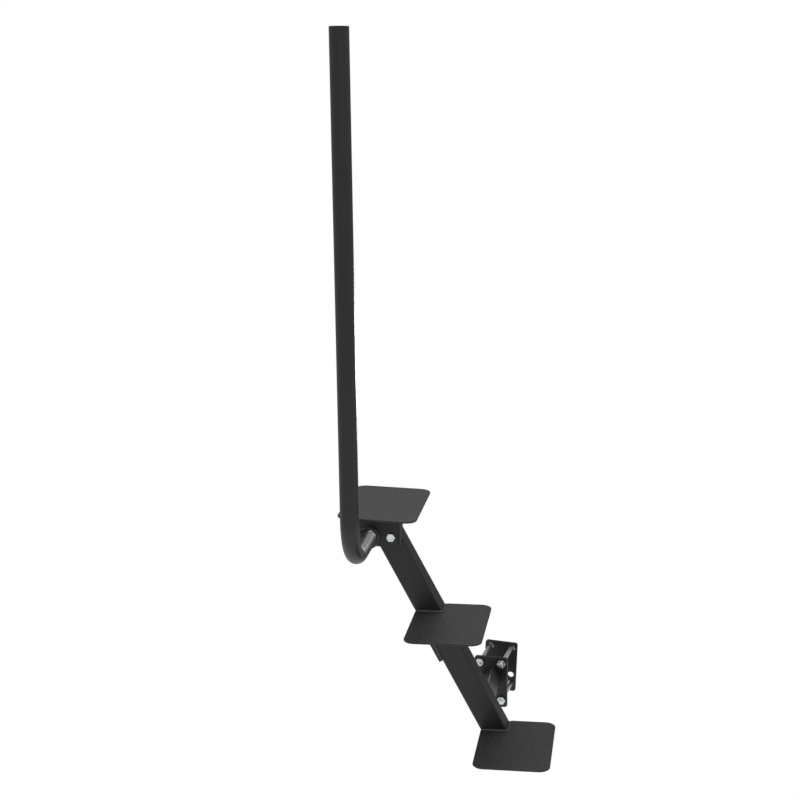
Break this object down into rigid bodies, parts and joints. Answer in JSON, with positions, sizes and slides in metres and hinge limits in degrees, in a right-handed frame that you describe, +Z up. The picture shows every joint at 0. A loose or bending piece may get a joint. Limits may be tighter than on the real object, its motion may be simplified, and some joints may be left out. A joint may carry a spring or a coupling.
{
  "type": "trailer tongue ladder",
  "caption": "Step ladder that clamps to a trailer tongue: slanting square tube with step plates, a tall handrail and a bolted plate clamp.",
  "frame": {"origin": "middle of the seat plate's face that lies against the trailer tongue", "axes": "+Z up, +Y into the tongue along the clamp bolts, +X right along the plates; the ladder itself stands turned 7.4 degrees about +Z from the clamp, as pictured"},
  "size_m": [0.4608, 0.5437, 1.4924],
  "materials": {
    "black_steel": "satin black powder coat",
    "step_grip": "textured matt black powder coat",
    "zinc": "bright zinc plate",
    "plug": "moulded black plastic"
  },
  "bodies": {
    "ladder": {"stringer": "black_steel", "bottom_step": "step_grip", "mid_step": "step_grip", "mid_step_brace": "black_steel", "top_step": "step_grip", "top_bracket": "black_steel", "bracket_bolt": "zinc", "bracket_nut": "zinc", "handrail": "black_steel", "handrail_cap": "plug", "mount_arm": "black_steel", "seat_plate": "black_steel", "clamp_nuts": "zinc"},
    "clamp_jaw": {"jaw_plate": "black_steel", "clamp_bolts": "zinc"}
  },
  "joints": [
    {"name": "clamp_slide", "type": "slide", "parent": "ladder", "child": "clamp_jaw", "axis": [0, -1, 0], "range_m": [0, 0.05]}
  ]
}
